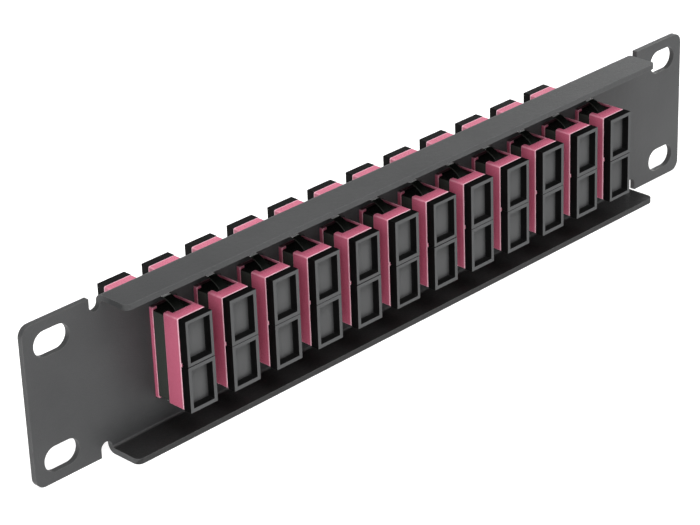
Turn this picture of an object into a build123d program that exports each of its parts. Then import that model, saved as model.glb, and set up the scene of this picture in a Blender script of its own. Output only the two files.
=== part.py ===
"""Ten-inch rack panel, one unit high, with twelve twin fibre adapters and their dust caps.

X runs along the panel, Z is up and Y runs from the rear, where the flanges are, to the front.
The origin is the centre of the rack slots, on the rear face of the sheet.
"""

from build123d import *
import os

# Folded panel
panel_width = 254.0
panel_height = 44.45
sheet = 1.6
bend_inside_radius = 0.8
flange_depth = 9.8
flange_corner_radius = 1.8
ear_width = 24.5
ear_corner_radius = 3.0
ear_inner_radius = 1.2
notch_width = 3.5
notch_depth = 4.0
slot_inset = 8.75
slot_spacing_z = 31.75
slot_length = 11.2
slot_width = 7.0

# Row of adapters
adapter_count = 12
adapter_pitch = 15.0
cutout_gap = 0.15
collar_seat_gap = 0.05

# Moulded adapter body
body_width = 9.2
body_height = 25.66
rear_reach = 10.4
front_reach = 15.7
body_edge = 0.3
collar_thickness = 1.8
collar_overhang = 0.9
port_width = 7.4
port_height = 9.0
port_end_wall = 1.98
chamber_height = 10.2
chamber_inset = 1.25
keyway_width = 2.4
keyway_depth = 0.5
keyway_length = 6.0
nub_height = 1.0
nub_proud = 0.25

# Pockets in the narrow ends and the channel for the clip
rear_band = 3.6
front_band = 2.9
panel_band = 1.05
pocket_depth = 0.9
outer_side_wall = 0.6
clip_side_wall = 1.6
channel_width = 4.0
channel_depth = 0.45

# Spring clip
clip_thickness = 0.3
clip_gap = 0.05
clip_inside_radius = 0.15
leg_panel_gap = 0.1
tongue_width = 2.6
tongue_length = 5.8
tongue_rise = 2.6
tongue_bulge = 0.8
tongue_panel_gap = 0.3

# Dust caps
cap_gap = 0.05
cap_width = 9.1
cap_head = 2.6
cap_frame = 1.05
cap_recess_depth = 2.1
cap_recess_draft = 4.0
cap_parting = 0.1
cap_plug_length = 3.3
cap_plug_gap = 0.1
cap_plug_wall = 0.8
relief_gap = 0.15

# Split sleeve and the holders that carry it inside the ports: these tubes have flat sides
sleeve_length = 11.4
sleeve_radius = 1.6
sleeve_bore_radius = 1.25
sleeve_slit = 0.5
sleeve_gap = 0.05
sleeve_sides = 12
holder_gap = 0.1
holder_wall = 0.75
holder_lip = 0.5
holder_plate = 1.2
holder_sides = 6
latch_width = 3.0
latch_thickness = 0.8
latch_hook = 0.6
latch_shoulder_gap = 0.2

# Places worked out from the sizes above
half_height = panel_height / 2
half_body = body_height / 2
bend_outside_radius = bend_inside_radius + sheet
web_top = half_height - bend_outside_radius
flange_length = panel_width - 2 * ear_width
ear_inner_x = flange_length / 2 + notch_width
notch_x = flange_length / 2 + notch_width / 2
slot_spacing_x = panel_width - 2 * slot_inset
side_wall = (body_width - port_width) / 2
port_pitch = body_height - 2 * port_end_wall - port_height
rear_mouth = -rear_reach
seam = sheet + collar_seat_gap
front_mouth = sheet + front_reach
middle = (rear_mouth + front_mouth) / 2
rear_pocket_start = rear_mouth + rear_band
front_pocket_end = front_mouth - front_band
channel_end = -panel_band
channel_start = channel_end - channel_width
chamber_start = -chamber_inset
chamber_end = 2 * middle - chamber_start
port_heights = (-port_pitch / 2, port_pitch / 2)
clip_surface = half_body - pocket_depth + clip_gap + clip_thickness
row_x = [(index - (adapter_count - 1) / 2) * adapter_pitch for index in range(adapter_count)]

os.makedirs("parts", exist_ok=True)


def across(y):
    """Plane across the adapters at depth y, facing the rear, with local Y up."""
    return Plane.XZ.offset(-y)


def finish(piece, name):
    """Label a finished piece and write it."""
    piece.part.label = name
    export_step(piece.part, f"parts/{name}.step")


def finish_row(prototype, name, places):
    """Repeat a piece at each place as separate solids of one node."""
    with BuildPart() as row:
        with Locations(*places):
            add(prototype.part)
    finish(row, name)


# Panel: flat blank with ears, slots and cut-outs, its two long edges folded to the rear
with BuildPart() as panel:
    with BuildSketch(Plane.XZ) as blank:
        Rectangle(panel_width, panel_height)
        with Locations((0, half_height), (0, -half_height)):
            Rectangle(2 * ear_inner_x, 2 * bend_outside_radius, mode=Mode.SUBTRACT)
        levels = blank.vertices().group_by(Axis.Y)
        ear_corners = levels[0] + levels[-1]
        outer_corners = [corner for corner in ear_corners if abs(corner.X) > slot_spacing_x / 2]
        inner_corners = [corner for corner in ear_corners if abs(corner.X) < slot_spacing_x / 2]
        fillet(outer_corners, ear_corner_radius)
        fillet(inner_corners, ear_inner_radius)
        # bend-relief notches, round at the bottom
        with GridLocations(2 * notch_x, panel_height, 2, 2):
            SlotCenterToCenter(
                2 * notch_depth - notch_width, notch_width, rotation=90, mode=Mode.SUBTRACT
            )
        # rack slots
        with GridLocations(slot_spacing_x, slot_spacing_z, 2, 2):
            SlotOverall(slot_length, slot_width, mode=Mode.SUBTRACT)
        # adapter cut-outs
        with Locations(*[(x, 0) for x in row_x]):
            Rectangle(body_width + 2 * cutout_gap, body_height + 2 * cutout_gap, mode=Mode.SUBTRACT)
    extrude(amount=-sheet)
    # one fold profile, made at the top and mirrored to the bottom
    with BuildSketch(Plane.YZ) as fold:
        with BuildLine():
            FilletPolyline(
                (-flange_depth, half_height - sheet / 2),
                (sheet / 2, half_height - sheet / 2),
                (sheet / 2, web_top - sheet),
                radius=bend_inside_radius + sheet / 2,
            )
        trace(line_width=sheet)
        mirror(about=Plane.XZ)
    extrude(amount=flange_length / 2, both=True)
    flange_tips = panel.edges().filter_by(Axis.Z).group_by(Axis.Y)[0]
    fillet(flange_tips, flange_corner_radius)
finish(panel, "panel")


def port_shapes(y, height):
    """The two port outlines of an adapter at depth y."""
    with BuildSketch(across(y)) as outlines:
        with GridLocations(port_width, port_pitch, 1, 2):
            Rectangle(port_width, height)
    return outlines.sketch


def keyway_shapes(y):
    """The two key slots in the wide side wall, open into the ports."""
    with BuildSketch(across(y)) as outlines:
        with Locations((port_width / 2, port_pitch / 2), (port_width / 2, -port_pitch / 2)):
            Rectangle(2 * keyway_depth, keyway_width)
    return outlines.sketch


def pocket_shapes(low_y, high_y):
    """The pocket outline on the top and on the bottom end of a housing half."""
    pocket_width = body_width - outer_side_wall - clip_side_wall
    pocket_x = (clip_side_wall - outer_side_wall) / 2
    with BuildSketch(Plane.XY.offset(half_body), Plane.XY.offset(-half_body)) as outlines:
        with Locations((pocket_x, (low_y + high_y) / 2)):
            Rectangle(pocket_width, high_y - low_y)
    return outlines.sketch


def nub_shapes(y):
    """The small nub on each long wall, level with the parting of the caps."""
    with BuildSketch(across(y)) as outlines:
        with GridLocations(port_width + side_wall, nub_height, 2, 1):
            Rectangle(side_wall, nub_height)
    return outlines.sketch


# Rear housing half: mouth, band, end pockets open to the seam and the clip channel
with BuildPart() as rear_housing:
    with BuildSketch(across(rear_mouth)):
        Rectangle(body_width, body_height)
    extrude(amount=rear_mouth - seam)
    chamfer(rear_housing.edges().filter_by(Axis.Y), body_edge)
    extrude(port_shapes(rear_mouth, port_height), amount=rear_mouth - seam, mode=Mode.SUBTRACT)
    extrude(port_shapes(chamber_start, chamber_height), amount=chamber_start - seam, mode=Mode.SUBTRACT)
    extrude(keyway_shapes(rear_mouth), amount=-keyway_length, mode=Mode.SUBTRACT)
    rear_pockets = pocket_shapes(rear_pocket_start, seam)
    extrude(rear_pockets, amount=pocket_depth, both=True, mode=Mode.SUBTRACT)
    with BuildSketch(Plane.XY):
        with Locations((-body_width / 2, (channel_start + channel_end) / 2)):
            Rectangle(2 * channel_depth, channel_width)
    extrude(amount=half_body, both=True, mode=Mode.SUBTRACT)
    with BuildSketch(Plane.XY.offset(half_body), Plane.XY.offset(-half_body)):
        with Locations((-body_width / 2, (channel_start + channel_end) / 2)):
            Rectangle(2 * clip_side_wall, channel_width)
    extrude(amount=pocket_depth, both=True, mode=Mode.SUBTRACT)
    extrude(nub_shapes(rear_mouth), amount=nub_proud)

adapter_places = [(x, 0, 0) for x in row_x]
finish_row(rear_housing, "rear_housings", adapter_places)

# Front housing half: collar on the front face of the sheet, end pockets and mouth
with BuildPart() as front_housing:
    with BuildSketch(across(seam)):
        Rectangle(body_width, body_height)
    extrude(amount=seam - front_mouth)
    with BuildSketch(across(seam)):
        Rectangle(body_width + 2 * collar_overhang, body_height + 2 * collar_overhang)
    extrude(amount=-collar_thickness)
    chamfer(front_housing.edges().filter_by(Axis.Y), body_edge)
    extrude(port_shapes(seam, port_height), amount=seam - front_mouth, mode=Mode.SUBTRACT)
    extrude(port_shapes(seam, chamber_height), amount=seam - chamber_end, mode=Mode.SUBTRACT)
    extrude(keyway_shapes(front_mouth), amount=keyway_length, mode=Mode.SUBTRACT)
    front_pockets = pocket_shapes(seam + collar_thickness, front_pocket_end)
    extrude(front_pockets, amount=pocket_depth, both=True, mode=Mode.SUBTRACT)
    extrude(nub_shapes(front_mouth), amount=-nub_proud)

finish_row(front_housing, "front_housings", adapter_places)

# Spring clip: strap in the channel, a leg in each end pocket and a tongue that rises from each leg
strap_x = -body_width / 2 + channel_depth - clip_gap - clip_thickness / 2
leg_z = clip_surface - clip_thickness / 2
leg_tip_x = body_width / 2 - outer_side_wall - clip_gap
leg_start_x = -body_width / 2 + clip_side_wall + clip_gap
leg_start_y = rear_pocket_start + clip_gap
leg_end_y = -leg_panel_gap
strap_start_y = channel_start + clip_gap
strap_end_y = channel_end - clip_gap
tongue_tip_y = -tongue_panel_gap
tongue_root_y = tongue_tip_y - tongue_length
bend_middle_radius = clip_inside_radius + clip_thickness / 2
with BuildPart() as spring_clip:
    with BuildSketch(across(strap_start_y)):
        with BuildLine():
            FilletPolyline(
                (leg_tip_x, leg_z),
                (strap_x, leg_z),
                (strap_x, -leg_z),
                (leg_tip_x, -leg_z),
                radius=bend_middle_radius,
            )
        trace(line_width=clip_thickness)
    extrude(amount=strap_start_y - strap_end_y)
    with BuildSketch(Plane.XY.offset(leg_z), Plane.XY.offset(-leg_z)):
        with Locations(((leg_start_x + leg_tip_x) / 2, (leg_start_y + leg_end_y) / 2)):
            Rectangle(leg_tip_x - leg_start_x, leg_end_y - leg_start_y)
    extrude(amount=clip_thickness / 2, both=True)
    for end in (-1, 1):
        with BuildSketch(Plane.YZ):
            with BuildLine():
                ThreePointArc(
                    (tongue_root_y, end * leg_z),
                    (tongue_root_y + tongue_length / 2, end * (leg_z + tongue_rise / 2 + tongue_bulge)),
                    (tongue_tip_y, end * (leg_z + tongue_rise)),
                )
            trace(line_width=clip_thickness)
        extrude(amount=tongue_width / 2, both=True)

finish_row(spring_clip, "spring_clips", adapter_places)

# Latch holder: plate at the middle of the adapter, flat-sided sleeve tube and two hooked arms
holder_bore_radius = sleeve_radius + sleeve_gap
holder_tube_radius = holder_bore_radius + holder_wall
holder_length = sleeve_length / 2 + sleeve_gap + holder_lip
latch_reach = middle - chamber_start - latch_shoulder_gap
latch_z = chamber_height / 2 - holder_gap - latch_thickness
with BuildPart() as latch_holder:
    with BuildSketch(across(middle)):
        Rectangle(port_width - 2 * holder_gap, chamber_height - 2 * holder_gap)
    extrude(amount=holder_plate)
    with BuildSketch(across(middle)):
        RegularPolygon(holder_tube_radius, holder_sides, major_radius=False)
    extrude(amount=holder_length)
    with BuildSketch(Plane.YZ):
        for side in (-1, 1):
            with BuildLine():
                Polyline(
                    (middle - holder_plate, side * latch_z),
                    (middle - holder_plate, side * (latch_z + latch_thickness)),
                    (middle - latch_reach, side * (latch_z + latch_thickness)),
                    (middle - latch_reach, side * latch_z),
                    (middle - latch_reach + latch_hook, side * (latch_z - latch_hook)),
                    (middle - latch_reach + latch_hook, side * latch_z),
                    close=True,
                )
            make_face()
    extrude(amount=latch_width / 2, both=True)
    with BuildSketch(across(middle)):
        RegularPolygon(holder_bore_radius, holder_sides, major_radius=False)
    extrude(amount=holder_length - holder_lip, mode=Mode.SUBTRACT)
    with BuildSketch(across(middle)):
        RegularPolygon(sleeve_bore_radius, holder_sides, major_radius=False)
    extrude(amount=holder_length, mode=Mode.SUBTRACT)

port_places = [(x, 0, z) for x in row_x for z in port_heights]
turned_places = [Location((x, 2 * middle, z), (0, 0, 180)) for x in row_x for z in port_heights]
finish_row(latch_holder, "rear_latch_holders", port_places)
finish_row(latch_holder, "front_latch_holders", turned_places)

# Alignment sleeve: tube with one slit along its length
with BuildPart() as sleeve:
    with BuildSketch(across(middle - sleeve_length / 2)):
        RegularPolygon(sleeve_radius, sleeve_sides)
        RegularPolygon(sleeve_bore_radius, sleeve_sides, major_radius=False, mode=Mode.SUBTRACT)
        with Locations((0, sleeve_radius)):
            Rectangle(sleeve_slit, sleeve_radius, mode=Mode.SUBTRACT)
    extrude(amount=-sleeve_length)

finish_row(sleeve, "alignment_sleeves", port_places)

# Dust cap for a rear port above the middle: framed head and hollow plug
cap_height = half_body - cap_parting / 2
cap_z = half_body / 2 + cap_parting / 4
cap_back = rear_mouth - cap_gap
plug_z = port_pitch / 2
with BuildPart() as dust_cap:
    with BuildSketch(across(cap_back)):
        with Locations((0, cap_z)):
            Rectangle(cap_width, cap_height)
    extrude(amount=cap_head)
    with BuildSketch(across(cap_back - cap_head)):
        with Locations((0, cap_z)):
            Rectangle(cap_width - 2 * cap_frame, cap_height - 2 * cap_frame)
    extrude(amount=-cap_recess_depth, taper=cap_recess_draft, mode=Mode.SUBTRACT)
    with BuildSketch(across(cap_back)):
        with Locations((0, plug_z)):
            Rectangle(port_width - 2 * cap_plug_gap, port_height - 2 * cap_plug_gap)
            Rectangle(
                port_width - 2 * (cap_plug_gap + cap_plug_wall),
                port_height - 2 * (cap_plug_gap + cap_plug_wall),
                mode=Mode.SUBTRACT,
            )
    extrude(amount=-cap_plug_length)
    # reliefs that clear the nubs on the mouth
    with BuildSketch(across(cap_back)):
        with GridLocations(body_width, nub_height, 2, 1):
            Rectangle(2 * (side_wall + relief_gap), nub_height + 2 * relief_gap)
    extrude(amount=nub_proud + relief_gap, mode=Mode.SUBTRACT)


def place_cap(name, location):
    """Set one dust cap at its port as a node of its own."""
    with BuildPart() as cap:
        with Locations(location):
            add(dust_cap.part)
    finish(cap, name)


for number, x in enumerate(row_x, start=1):
    place_cap(f"rear_cap_{number:02d}_upper", Location((x, 0, 0)))
    place_cap(f"rear_cap_{number:02d}_lower", Location((x, 0, 0), (0, 180, 0)))
    place_cap(f"front_cap_{number:02d}_upper", Location((x, 2 * middle, 0), (0, 0, 180)))
    place_cap(f"front_cap_{number:02d}_lower", Location((x, 2 * middle, 0), (180, 0, 0)))
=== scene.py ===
from math import cos, radians, sin

import bmesh
import bpy
from mathutils import Matrix, Vector


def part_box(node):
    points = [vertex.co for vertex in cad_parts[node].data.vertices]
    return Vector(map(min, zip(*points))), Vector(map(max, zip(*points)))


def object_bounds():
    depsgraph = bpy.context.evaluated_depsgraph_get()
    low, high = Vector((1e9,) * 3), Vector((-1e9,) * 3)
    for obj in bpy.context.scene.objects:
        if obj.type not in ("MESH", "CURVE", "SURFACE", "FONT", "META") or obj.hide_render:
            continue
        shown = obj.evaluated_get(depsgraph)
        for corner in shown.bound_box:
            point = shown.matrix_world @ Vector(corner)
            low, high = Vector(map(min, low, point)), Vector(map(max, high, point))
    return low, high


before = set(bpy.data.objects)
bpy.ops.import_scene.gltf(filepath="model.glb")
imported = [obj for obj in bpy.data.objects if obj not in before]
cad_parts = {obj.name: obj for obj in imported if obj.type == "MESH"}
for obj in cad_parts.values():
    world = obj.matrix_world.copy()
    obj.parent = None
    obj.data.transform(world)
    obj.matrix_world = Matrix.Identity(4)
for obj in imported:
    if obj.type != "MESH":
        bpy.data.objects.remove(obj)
solid_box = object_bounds()

MM = 0.001

# The place and lens that show the panel as a long-lens product picture does, from its rear left and above
camera_place = (-448.7 * MM, -434.0 * MM, 296.7 * MM)
camera_heading = radians(44.89)
camera_dip = radians(25.94)
camera_roll = radians(-2.11)
picture_width = 700
focal_pixels = 2541.8
sensor_width = 36.0
nearest_view = 0.01
farthest_view = 20

# Edge roundings that the solids leave out
sheet_edge = 0.22 * MM
housing_edge = 0.34 * MM
cap_edge = 0.26 * MM
clip_edge = 0.06 * MM

# Corners closer than this are one, faces that turn less are one, and edges that turn more are rounded
same_corner = 0.002 * MM
flat_turn = radians(0.4)
sharp_turn = radians(30)

# The low flange's rear edge, which gets painted shade, found along a slanted direction that no other place
# of the sheet reaches
low_edge_direction = (0.0, 0.75, 0.66)
low_edge_reach = 20.9 * MM

# How far the housings' nubs stand out, and how deep the painted highlight rims, the bare tips with their
# painted glint and the caps' frames go
nub_proud = 0.25 * MM
highlight_rim_depth = 0.35 * MM
glint_tip_depth = 0.1 * MM
frame_depth = 1.0 * MM

# The floor under the panel
floor_height = solid_box[0][2]
floor_half_side = 3.0
floor_grey = 0.5
floor_roughness = 0.8
floor_glow = 0.75

# Colours that more than one place has, among them the painted shade and the pale violet of painted
# highlights, and the clips' bare cut steel, painted near white as a glint
plain_white = (1, 1, 1, 1)
deep_shade = (0.008, 0.008, 0.008)
pale_violet_highlight = (0.95, 0.70, 0.77)
bare_steel_glint = (0.95, 0.96, 0.95)

# How much of the painted shade a close corner takes, and how much of its roughness a worn, highlit edge
# keeps
corner_shade = 0.7
edge_roughness = 0.8

# Samples of the two nodes that look around a point
bevel_samples = 4
cover_samples = 6

# Kinds of socket, and the places of the Mix node's sockets for colours, whose names repeat
LINEAR = "NodeSocketFloat"
VECTOR = "NodeSocketVector"
MIX_MASK = 0
MIX_BELOW = 6
MIX_ABOVE = 7
MIX_RESULT = 2


def place_camera():
    """Set the camera by heading, dip and roll, and give it the long lens."""
    level_reach = cos(camera_dip)
    ahead = Vector((sin(camera_heading) * level_reach, cos(camera_heading) * level_reach, -sin(camera_dip)))
    level = ahead.cross(Vector((0, 0, 1))).normalized()
    upright = level.cross(ahead)
    right = level * cos(camera_roll) + upright * sin(camera_roll)
    up = upright * cos(camera_roll) - level * sin(camera_roll)
    lens = bpy.data.cameras.new("long lens")
    lens.sensor_width = sensor_width
    lens.lens = focal_pixels * sensor_width / picture_width
    lens.clip_start = nearest_view
    lens.clip_end = farthest_view
    camera = bpy.data.objects.new("camera", lens)
    camera.matrix_world = Matrix((
        (right.x, up.x, -ahead.x, camera_place[0]),
        (right.y, up.y, -ahead.y, camera_place[1]),
        (right.z, up.z, -ahead.z, camera_place[2]),
        (0, 0, 0, 1),
    ))
    bpy.context.scene.collection.objects.link(camera)
    bpy.context.scene.camera = camera


def new_group(name, inputs, outputs):
    """A shader group with named sockets; each input is (name, kind, value)."""
    group = bpy.data.node_groups.new(name, "ShaderNodeTree")
    for label, kind, value in inputs:
        group.interface.new_socket(label, in_out="INPUT", socket_type=kind).default_value = value
    for label, kind in outputs:
        group.interface.new_socket(label, in_out="OUTPUT", socket_type=kind)
    return group


def add_node(tree, kind, inputs=None, **settings):
    """Add a node, set its properties, and set or link its inputs."""
    node = tree.nodes.new(kind)
    for name, value in settings.items():
        setattr(node, name, value)
    for key, value in (inputs or {}).items():
        if isinstance(value, bpy.types.NodeSocket):
            tree.links.new(value, node.inputs[key])
        else:
            node.inputs[key].default_value = value
    return node


def maths(tree, operation, *values):
    """The result of one operation on masks and numbers."""
    return add_node(tree, "ShaderNodeMath", dict(enumerate(values)), operation=operation).outputs[0]


def vectors(tree, operation, *values):
    """The vector that one operation on vectors gives."""
    result = add_node(tree, "ShaderNodeVectorMath", dict(enumerate(values)), operation=operation)
    return result.outputs["Vector"]


def along(tree, place, direction):
    """How far a place or a normal goes along a direction."""
    product = add_node(tree, "ShaderNodeVectorMath", {0: place, 1: direction}, operation="DOT_PRODUCT")
    return product.outputs["Value"]


def ranged(tree, value, limits=(0.0, 1.0), to=(0.0, 1.0)):
    """Map a value from between two limits to between two others, and hold it there."""
    return add_node(tree, "ShaderNodeMapRange", {
        "Value": value, "From Min": limits[0], "From Max": limits[1], "To Min": to[0], "To Max": to[1],
    }).outputs["Result"]


def noise(tree, place, per_metre, detail, softness=0.5):
    """Cloudy noise with so many patches per metre."""
    return add_node(tree, "ShaderNodeTexNoise", {
        "Vector": place, "Scale": per_metre, "Detail": detail, "Roughness": softness,
    }).outputs["Fac"]


def lay_over(tree, mask, below, above, **settings):
    """Lay one colour over another by a mask, and give the result."""
    inputs = {MIX_MASK: mask}
    for key, colour in ((MIX_BELOW, below), (MIX_ABOVE, above)):
        inputs[key] = colour if isinstance(colour, bpy.types.NodeSocket) else (*colour, 1)
    return add_node(tree, "ShaderNodeMix", inputs, data_type="RGBA", **settings).outputs[MIX_RESULT]


def grain_group():
    """Fine grain of a mould or a coat: its height, and a speckle that follows it."""
    wide_share = 0.23
    speckle_limits = (0.35, 0.68)
    group = new_group(
        "fine grain",
        [("Grains per metre", LINEAR, 3000.0), ("Softness", LINEAR, 0.5)],
        [("Height", LINEAR), ("Speckle", LINEAR)],
    )
    start = group.nodes.new("NodeGroupInput")
    end = group.nodes.new("NodeGroupOutput")
    place = add_node(group, "ShaderNodeTexCoord").outputs["Object"]
    fine = start.outputs["Grains per metre"]
    wide = maths(group, "MULTIPLY", fine, wide_share)
    peel = noise(group, place, fine, detail=3.0, softness=start.outputs["Softness"])
    roll = noise(group, place, wide, detail=1.0)
    mean = maths(group, "MULTIPLY", maths(group, "ADD", peel, roll), 0.5)
    group.links.new(mean, end.inputs["Height"])
    group.links.new(ranged(group, peel, speckle_limits), end.inputs["Speckle"])
    return group


def flow_group():
    """Slow change of tone over a surface, as a moulding's flow or a coat's thickness gives."""
    drift_limits = (0.3, 0.7)
    group = new_group(
        "tone drift",
        [("Patches per metre", LINEAR, 60.0), ("Stretch", VECTOR, (1.0, 1.0, 1.0))],
        [("Drift", LINEAR)],
    )
    start = group.nodes.new("NodeGroupInput")
    end = group.nodes.new("NodeGroupOutput")
    place = add_node(group, "ShaderNodeTexCoord").outputs["Object"]
    pulled = vectors(group, "MULTIPLY", place, start.outputs["Stretch"])
    cloud = noise(group, pulled, start.outputs["Patches per metre"], detail=4.0, softness=0.55)
    group.links.new(ranged(group, cloud, drift_limits), end.inputs["Drift"])
    return group


def edge_group():
    """Mask of the edges and their roundings, broken up by a little noise."""
    turn_cosines = (0.995, 0.86)
    slant_cosines = (0.985, 0.9)
    mark_limits = (0.32, 0.6)
    least_mark = 0.35
    group = new_group(
        "worn and highlit edge",
        [("Width", LINEAR, 0.3 * MM), ("Rounding", LINEAR, 0.0), ("Marks per metre", LINEAR, 700.0),
         ("Strength", LINEAR, 1.0)],
        [("Mask", LINEAR)],
    )
    start = group.nodes.new("NodeGroupInput")
    end = group.nodes.new("NodeGroupOutput")
    coordinates = add_node(group, "ShaderNodeTexCoord")
    facing = add_node(group, "ShaderNodeNewGeometry").outputs["Normal"]
    rounded = add_node(group, "ShaderNodeBevel", {"Radius": start.outputs["Width"]}, samples=bevel_samples)
    turned = ranged(group, along(group, rounded.outputs[0], facing), turn_cosines)
    sizes = vectors(group, "ABSOLUTE", coordinates.outputs["Normal"])
    parts = add_node(group, "ShaderNodeSeparateXYZ", {"Vector": sizes}).outputs
    level = maths(group, "MAXIMUM", parts["X"], parts["Y"])
    slanted = ranged(group, maths(group, "MAXIMUM", level, parts["Z"]), slant_cosines)
    curved = maths(group, "MULTIPLY", slanted, start.outputs["Rounding"])
    either = maths(group, "MAXIMUM", turned, curved)
    marks = noise(group, coordinates.outputs["Object"], start.outputs["Marks per metre"], detail=3.0)
    patchy = ranged(group, marks, mark_limits, to=(least_mark, 1.0))
    broken = maths(group, "MULTIPLY", either, patchy)
    group.links.new(maths(group, "MULTIPLY", broken, start.outputs["Strength"]), end.inputs["Mask"])
    return group


def face_group():
    """Masks along a direction: the faces that look along it or back, and what lies near a middle or far."""
    flat_cosines = (0.75, 0.92)
    group = new_group(
        "faces that look along",
        [("Direction", VECTOR, (0.0, 1.0, 0.0)), ("Middle", LINEAR, 0.0), ("Reach", LINEAR, 0.0)],
        [("Mask", LINEAR), ("Near middle", LINEAR), ("Far", LINEAR), ("Rim", LINEAR)],
    )
    start = group.nodes.new("NodeGroupInput")
    end = group.nodes.new("NodeGroupOutput")
    direction = start.outputs["Direction"]
    place = add_node(group, "ShaderNodeTexCoord")
    square = maths(group, "ABSOLUTE", along(group, place.outputs["Normal"], direction))
    flat = ranged(group, square, flat_cosines)
    depth = along(group, place.outputs["Object"], direction)
    offset = maths(group, "ABSOLUTE", maths(group, "SUBTRACT", depth, start.outputs["Middle"]))
    near = maths(group, "LESS_THAN", offset, start.outputs["Reach"])
    far = maths(group, "SUBTRACT", 1.0, near)
    beside = maths(group, "SUBTRACT", 1.0, flat)
    group.links.new(flat, end.inputs["Mask"])
    group.links.new(near, end.inputs["Near middle"])
    group.links.new(far, end.inputs["Far"])
    group.links.new(maths(group, "MULTIPLY", far, beside), end.inputs["Rim"])
    return group


def shelter_group():
    """Masks for painted shade: what other faces stand close to, and the upward faces among it, which get
    little light.
    """
    upward_cosines = (0.5, 0.9)
    open_shares = (0.95, 0.55)
    group = new_group(
        "roofed over",
        [("Clear height", LINEAR, 20 * MM)],
        [("Mask", LINEAR), ("Close", LINEAR)],
    )
    start = group.nodes.new("NodeGroupInput")
    end = group.nodes.new("NodeGroupOutput")
    facing = add_node(group, "ShaderNodeTexCoord").outputs["Normal"]
    rise = add_node(group, "ShaderNodeSeparateXYZ", {"Vector": facing}).outputs["Z"]
    upward = ranged(group, rise, upward_cosines)
    height = start.outputs["Clear height"]
    open_sky = add_node(group, "ShaderNodeAmbientOcclusion", {"Distance": height}, samples=cover_samples)
    covered = ranged(group, open_sky.outputs["AO"], open_shares)
    group.links.new(maths(group, "MULTIPLY", upward, covered), end.inputs["Mask"])
    group.links.new(covered, end.inputs["Close"])
    return group


fine_grain = grain_group()
tone_drift = flow_group()
worn_and_highlit_edge = edge_group()
faces_along = face_group()
roofed_over = shelter_group()


def use_group(tree, group, values):
    """Place a shared group in a material with this material's own values, and give its outputs."""
    node = add_node(tree, "ShaderNodeGroup", node_tree=group)
    for name, value in values.items():
        node.inputs[name].default_value = value
    return node.outputs


def finish_material(name, dark, light, edge_colour, grain, drift, edge, roughness, bump,
                    fleck=0.86, shine=0.5, faces=None, lit_face_colour=None, lit_sunk_floor_colour=None,
                    shelter=None, corners=None, patches=()):
    """A coated or moulded finish: two tones, edges lightened by wear and painted highlight, grain in the
    gloss and in the surface.

    Faces that look along a direction get a lighter colour of their own, painted light, and another where
    they are sunk.
    Roofed-over upward faces and close corners get painted shade, and each patch is a colour laid over one
    mask of a place, a painted shade, highlight or glint.
    """
    material = bpy.data.materials.new(name)
    material.use_nodes = True
    tree = material.node_tree
    shader = tree.nodes["Principled BSDF"]
    grains = use_group(tree, fine_grain, grain)
    edges = use_group(tree, worn_and_highlit_edge, edge)
    tone = lay_over(tree, use_group(tree, tone_drift, drift)["Drift"], dark, light)
    flecks = ranged(tree, grains["Speckle"], to=(fleck, 1.0))
    colour = lay_over(tree, 1.0, tone, flecks, blend_type="MULTIPLY")
    # Painted light: faces along a direction get a lighter colour, and sunk faces their own
    if faces:
        flats = use_group(tree, faces_along, faces)
        level = lay_over(tree, flats["Near middle"], lit_face_colour, lit_sunk_floor_colour or lit_face_colour)
        colour = lay_over(tree, flats["Mask"], colour, level)
    # Painted shade on roofed-over upward faces and on close corners
    if shelter:
        colour = lay_over(tree, use_group(tree, roofed_over, shelter)["Mask"], colour, deep_shade)
    if corners:
        close = maths(tree, "MULTIPLY", use_group(tree, roofed_over, corners)["Close"], corner_shade)
        colour = lay_over(tree, close, colour, deep_shade)
    # Patches of painted shade, painted highlight and painted glint
    for patch in patches:
        mask = use_group(tree, faces_along, patch["place"])[patch["mask"]]
        colour = lay_over(tree, maths(tree, "MULTIPLY", mask, patch["strength"]), colour, patch["colour"])
    # Edges lighter from wear and painted highlight
    tree.links.new(lay_over(tree, edges["Mask"], colour, edge_colour), shader.inputs["Base Color"])
    gloss = ranged(tree, grains["Speckle"], to=roughness)
    smoother = ranged(tree, edges["Mask"], to=(1.0, edge_roughness))
    tree.links.new(maths(tree, "MULTIPLY", gloss, smoother), shader.inputs["Roughness"])
    relief = add_node(tree, "ShaderNodeBump", {"Height": grains["Height"], **bump})
    tree.links.new(relief.outputs["Normal"], shader.inputs["Normal"])
    shader.inputs["Specular IOR Level"].default_value = shine
    return material


# The caps' middle along the adapters, and the depth that parts their frames from the sunk floors
rear_cap_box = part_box("rear_cap_01_upper")
front_cap_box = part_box("front_cap_01_upper")
cap_middle = (rear_cap_box[0][1] + front_cap_box[1][1]) / 2
cap_reach = (front_cap_box[1][1] - rear_cap_box[0][1]) / 2 - frame_depth

# The painted highlight rims of the housings' mouths, and the bare cut tips of the clips' tongues with their
# painted glint
mouth_reach = cap_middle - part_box("rear_housings")[0][1] - nub_proud - highlight_rim_depth
tip_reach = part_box("spring_clips")[1][2] - glint_tip_depth

# Patches: painted shade on the low flange's rear edge, a painted highlight on the housings' mouth rims, and
# a painted glint on the bare tips of the clips' tongues
low_edge_shade = {
    "place": {"Direction": low_edge_direction, "Reach": low_edge_reach},
    "mask": "Far", "strength": 0.95, "colour": (0.010, 0.010, 0.010),
}
mouth_rim_highlight = {
    "place": {"Direction": (0.0, 1.0, 0.0), "Middle": cap_middle, "Reach": mouth_reach},
    "mask": "Rim", "strength": 0.4, "colour": pale_violet_highlight,
}
# Bare cut steel on the tongues' tips, painted near white as a glint
tongue_tip_glint = {
    "place": {"Direction": (0.0, 0.0, 1.0), "Reach": tip_reach},
    "mask": "Far", "strength": 1.0, "colour": bare_steel_glint,
}

# Roofed-over upward faces of the sheet get painted shade, and its low flange's rear edge another painted
# shade
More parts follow.
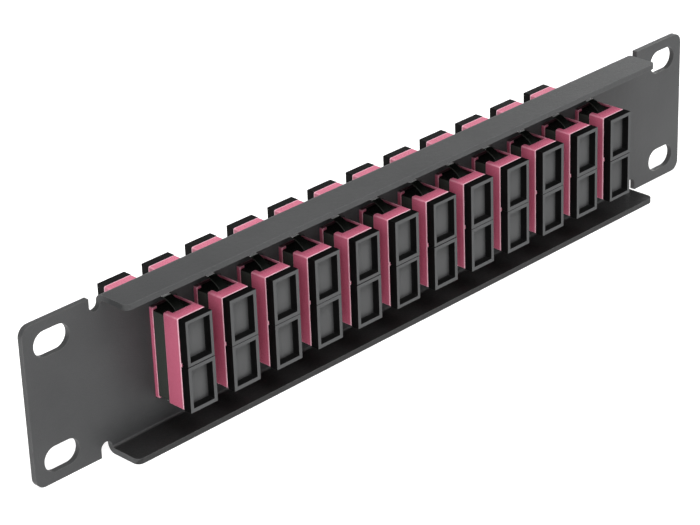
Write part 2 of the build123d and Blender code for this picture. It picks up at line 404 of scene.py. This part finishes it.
powder_coat = finish_material(
    "dark grey powder coat",
    dark=(0.036, 0.037, 0.038), light=(0.047, 0.048, 0.049), edge_colour=(0.09, 0.09, 0.09),
    grain={"Grains per metre": 2600.0, "Softness": 0.6},
    drift={"Patches per metre": 45.0},
    edge={"Width": 0.4 * MM, "Strength": 0.5},
    roughness=(0.42, 0.58), bump={"Strength": 0.7, "Distance": 0.12 * MM},
    fleck=0.76, shine=0.34,
    shelter={"Clear height": 45 * MM}, patches=[low_edge_shade],
)
# Roofed-over upward faces of the housings get painted shade, and their edges and the rims of their mouths a
# painted highlight
violet_plastic = finish_material(
    "heather violet moulding",
    dark=(0.49, 0.11, 0.182), light=(0.54, 0.13, 0.208), edge_colour=pale_violet_highlight,
    grain={"Grains per metre": 5200.0, "Softness": 0.5},
    drift={"Patches per metre": 160.0, "Stretch": (1.0, 1.0, 0.35)},
    edge={"Width": 0.3 * MM, "Rounding": 0.22, "Strength": 0.9},
    roughness=(0.26, 0.36), bump={"Strength": 0.2, "Distance": 0.03 * MM},
    shelter={"Clear height": 3 * MM}, patches=[mouth_rim_highlight],
)
# The caps' outer faces and sunk floors are painted lighter grey than their black sides, a painted sheen, and
# close corners get painted shade
cap_plastic = finish_material(
    "black satin moulding",
    dark=(0.003, 0.003, 0.003), light=(0.005, 0.005, 0.005), edge_colour=(0.04, 0.04, 0.04),
    grain={"Grains per metre": 4200.0, "Softness": 0.55},
    drift={"Patches per metre": 140.0},
    edge={"Width": 0.15 * MM, "Strength": 0.25},
    roughness=(0.38, 0.5), bump={"Strength": 0.25, "Distance": 0.04 * MM},
    shine=0.04,
    faces={"Direction": (0.0, 1.0, 0.0), "Middle": cap_middle, "Reach": cap_reach},
    lit_face_colour=(0.077, 0.078, 0.079), lit_sunk_floor_colour=(0.092, 0.093, 0.094),
    corners={"Clear height": 1.3 * MM},
)
# The clips' faces along X are painted lighter than the rest, painted light; the tongues' tips are bare steel
# with a painted glint
spring_metal = finish_material(
    "blackened spring steel",
    dark=(0.004, 0.005, 0.004), light=(0.007, 0.008, 0.007), edge_colour=(0.88, 0.89, 0.88),
    grain={"Grains per metre": 6000.0, "Softness": 0.5},
    drift={"Patches per metre": 300.0, "Stretch": (1.0, 1.0, 0.2)},
    edge={"Width": 0.07 * MM, "Strength": 0.25},
    roughness=(0.22, 0.34), bump={"Strength": 0.12, "Distance": 0.02 * MM},
    shine=0.06,
    faces={"Direction": (1.0, 0.0, 0.0)}, lit_face_colour=(0.040, 0.044, 0.039),
    patches=[tongue_tip_glint],
)
latch_plastic = finish_material(
    "natural white moulding",
    dark=(0.70, 0.70, 0.66), light=(0.78, 0.78, 0.74), edge_colour=(0.88, 0.88, 0.85),
    grain={"Grains per metre": 5200.0, "Softness": 0.5},
    drift={"Patches per metre": 200.0},
    edge={"Width": 0.2 * MM, "Strength": 0.3},
    roughness=(0.34, 0.46), bump={"Strength": 0.15, "Distance": 0.03 * MM},
)
ceramic = finish_material(
    "polished ceramic",
    dark=(0.84, 0.83, 0.80), light=(0.90, 0.89, 0.86), edge_colour=(0.95, 0.95, 0.93),
    grain={"Grains per metre": 9000.0, "Softness": 0.4},
    drift={"Patches per metre": 250.0},
    edge={"Width": 0.1 * MM, "Strength": 0.3},
    roughness=(0.10, 0.18), bump={"Strength": 0.05, "Distance": 0.01 * MM},
)


def dress(node, material, rounding=0, segments=2):
    """Give a solid its finish, and round the edges that the solid leaves sharp."""
    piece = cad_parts[node]
    piece.data.materials.clear()
    piece.data.materials.append(material)
    if rounding:
        weld = piece.modifiers.new("weld", "WELD")
        weld.merge_threshold = same_corner
        flat = piece.modifiers.new("flat faces", "DECIMATE")
        flat.decimate_type = "DISSOLVE"
        flat.angle_limit = flat_turn
        edge = piece.modifiers.new("edge rounding", "BEVEL")
        edge.limit_method = "ANGLE"
        edge.angle_limit = sharp_turn
        edge.width = rounding
        edge.segments = segments
        edge.use_clamp_overlap = True
        even = piece.modifiers.new("even shading", "WEIGHTED_NORMAL")
        even.keep_sharp = False


dress("panel", powder_coat, sheet_edge)
dress("rear_housings", violet_plastic, housing_edge)
dress("front_housings", violet_plastic, housing_edge)
dress("spring_clips", spring_metal, clip_edge, segments=1)
dress("rear_latch_holders", latch_plastic)
dress("front_latch_holders", latch_plastic)
dress("alignment_sleeves", ceramic)
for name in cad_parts:
    if "_cap_" in name:
        dress(name, cap_plastic, cap_edge)


def pale_floor():
    """Plain pale light table that the panel stands on."""
    shape = bmesh.new()
    bmesh.ops.create_grid(shape, x_segments=1, y_segments=1, size=floor_half_side)
    bmesh.ops.translate(shape, verts=shape.verts, vec=(0, 0, floor_height))
    mesh = bpy.data.meshes.new("floor")
    shape.to_mesh(mesh)
    shape.free()
    floor = bpy.data.objects.new("floor", mesh)
    bpy.context.scene.collection.objects.link(floor)
    material = bpy.data.materials.new("pale floor")
    material.use_nodes = True
    shader = material.node_tree.nodes["Principled BSDF"]
    shader.inputs["Base Color"].default_value = (floor_grey, floor_grey, floor_grey, 1)
    shader.inputs["Roughness"].default_value = floor_roughness
    shader.inputs["Emission Color"].default_value = plain_white
    shader.inputs["Emission Strength"].default_value = floor_glow
    mesh.materials.append(material)


def soft_light(name, place, size, power):
    """A square soft box that faces the panel's middle."""
    lamp = bpy.data.lights.new(name, "AREA")
    lamp.shape = "SQUARE"
    lamp.size = size
    lamp.energy = power
    light = bpy.data.objects.new(name, lamp)
    light.location = place
    light.rotation_mode = "QUATERNION"
    light.rotation_quaternion = Vector(place).to_track_quat("Z", "Y")
    bpy.context.scene.collection.objects.link(light)


def studio():
    """White surroundings that brighten upward, a broad light overhead, one at the left and two low ones."""
    world = bpy.data.worlds.new("white studio")
    bpy.context.scene.world = world
    world.use_nodes = True
    tree = world.node_tree
    sky = tree.nodes["Background"]
    heading = add_node(tree, "ShaderNodeTexCoord").outputs["Generated"]
    height = add_node(tree, "ShaderNodeSeparateXYZ", {"Vector": heading}).outputs["Z"]
    sky.inputs["Color"].default_value = plain_white
    tree.links.new(ranged(tree, height, limits=(0.1, 0.7), to=(0.3, 0.85)), sky.inputs["Strength"])
    soft_light("overhead", (0.0, -0.45, 1.05), size=0.8, power=11.4)
    soft_light("left", (-1.1, -0.5, 0.5), size=0.7, power=6.3)
    soft_light("low right", (0.8, -0.95, 0.22), size=0.15, power=1.0)
    soft_light("far right", (1.15, 0.55, 0.12), size=0.5, power=3.0)


place_camera()
pale_floor()
studio()
bpy.context.scene.view_settings.view_transform = "Standard"
